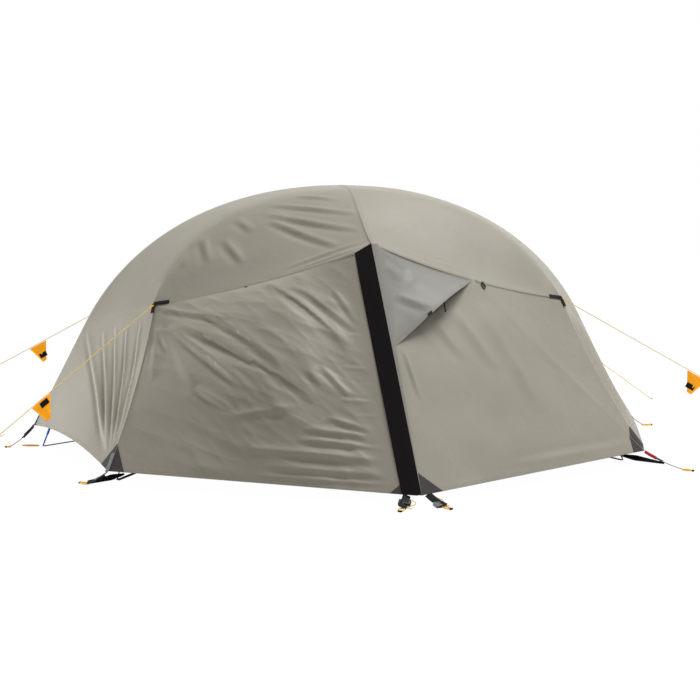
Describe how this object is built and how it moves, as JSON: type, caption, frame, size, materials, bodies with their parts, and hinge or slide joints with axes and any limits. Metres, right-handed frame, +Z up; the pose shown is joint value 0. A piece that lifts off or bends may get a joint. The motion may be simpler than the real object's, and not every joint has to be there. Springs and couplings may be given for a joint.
{
  "type": "dome tent",
  "caption": "Low dome tent with arched poles, a sand flysheet over a tray-floored inner tent, a zipped vestibule door with a hooded vent on each long side, and guylines.",
  "frame": {"origin": "on the ground below the top of the ridge, midway between the two vestibule tips", "axes": "+X along the spine pole to the right-hand end, +Y from the pictured front to the back, +Z up"},
  "size_m": [3.7111, 2.808, 1.05],
  "materials": {
    "fly_cloth": "sand ripstop with a silicone coating",
    "black_cloth": "matte",
    "inner_cloth": "matte",
    "tray_cloth": "coated",
    "webbing": "matte",
    "guy_cord": "matte",
    "pouch_cloth": "matte",
    "blue_alloy": "anodised",
    "red_alloy": "anodised",
    "silver_alloy": "anodised",
    "black_plastic": "moulded"
  },
  "bodies": {
    "tent": {"back_buckle_left": "black_plastic", "back_buckle_right": "black_plastic", "back_hoop_clip": "black_plastic", "back_hoop_pole": "red_alloy", "back_hoop_tip_left": "silver_alloy", "back_hoop_tip_right": "silver_alloy", "back_left_guyline": "guy_cord", "back_left_pouch": "pouch_cloth", "back_right_guyline": "guy_cord", "back_side_panel": "fly_cloth", "back_storm_flap": "black_cloth", "back_strap_left": "webbing", "back_strap_right": "webbing", "back_tip_strap": "webbing", "back_vent_hood": "fly_cloth", "back_zip": "black_plastic", "end_buckle_left": "black_plastic", "end_buckle_right": "black_plastic", "end_strap_left": "webbing", "end_strap_right": "webbing", "fly_end_left": "fly_cloth", "fly_end_right": "fly_cloth", "fly_roof": "fly_cloth", "front_buckle_left": "black_plastic", "front_buckle_right": "black_plastic", "front_hoop_clip": "black_plastic", "front_hoop_pole": "red_alloy", "front_hoop_tip_left": "silver_alloy", "front_hoop_tip_right": "silver_alloy", "front_left_guyline": "guy_cord", "front_left_pouch": "pouch_cloth", "front_right_guyline": "guy_cord", "front_right_pouch": "pouch_cloth", "front_side_panel": "fly_cloth", "front_storm_flap": "black_cloth", "front_strap_left": "webbing", "front_strap_right": "webbing", "front_tip_strap": "webbing", "front_vent_hood": "fly_cloth", "front_zip": "black_plastic", "inner_canopy": "inner_cloth", "inner_floor": "tray_cloth", "ridge_pole": "silver_alloy", "spine_clip": "black_plastic", "spine_pole": "blue_alloy", "spine_tip_left": "silver_alloy", "spine_tip_right": "silver_alloy"},
    "front_door": {"front_door": "fly_cloth", "front_door_strap": "webbing"},
    "front_zip_slider": {"front_zip_slider": "black_plastic"},
    "front_vent_strut": {"front_vent_strut": "black_plastic"},
    "back_door": {"back_door": "fly_cloth", "back_door_strap": "webbing"},
    "back_zip_slider": {"back_zip_slider": "black_plastic"},
    "back_vent_strut": {"back_vent_strut": "black_plastic"},
    "front_left_tensioner": {"front_left_tensioner": "black_plastic"},
    "front_right_tensioner": {"front_right_tensioner": "black_plastic"},
    "back_left_tensioner": {"back_left_tensioner": "black_plastic"},
    "back_right_tensioner": {"back_right_tensioner": "black_plastic"}
  },
  "joints": [
    {"name": "front_door_hinge", "type": "hinge", "parent": "tent", "child": "front_door", "pos_m": [0.40328, -0.57069, 0.68818], "axis": [-0.6455, 0.3249, 0.6912], "range_deg": [0, 110]},
    {"name": "front_zip_slide", "type": "slide", "parent": "tent", "child": "front_zip_slider", "axis": [0, 0.6382, 0.7699], "range_m": [0, 0.5]},
    {"name": "front_strut_hinge", "type": "hinge", "parent": "tent", "child": "front_vent_strut", "pos_m": [0.21952, -0.81177, 0.63408], "axis": [0.6709, 0.6582, 0.3417], "range_deg": [0, 50]},
    {"name": "back_door_hinge", "type": "hinge", "parent": "tent", "child": "back_door", "pos_m": [-0.40328, 0.57069, 0.68818], "axis": [0.6455, -0.3249, 0.6912], "range_deg": [0, 110]},
    {"name": "back_zip_slide", "type": "slide", "parent": "tent", "child": "back_zip_slider", "axis": [0, -0.6382, 0.7699], "range_m": [0, 0.5]},
    {"name": "back_strut_hinge", "type": "hinge", "parent": "tent", "child": "back_vent_strut", "pos_m": [-0.21952, 0.81177, 0.63408], "axis": [-0.6709, -0.6582, 0.3417], "range_deg": [0, 50]},
    {"name": "front_left_tensioner_slide", "type": "slide", "parent": "tent", "child": "front_left_tensioner", "axis": [-0.7163, -0.447, -0.5358], "range_m": [-0.08, 0.15]},
    {"name": "front_right_tensioner_slide", "type": "slide", "parent": "tent", "child": "front_right_tensioner", "axis": [0.8543, -0.176, -0.4891], "range_m": [-0.08, 0.15]},
    {"name": "back_left_tensioner_slide", "type": "slide", "parent": "tent", "child": "back_left_tensioner", "axis": [-0.819, 0.3367, -0.4645], "range_m": [-0.08, 0.15]},
    {"name": "back_right_tensioner_slide", "type": "slide", "parent": "tent", "child": "back_right_tensioner", "axis": [0.8115, 0.2329, -0.5359], "range_m": [-0.08, 0.15]}
  ]
}
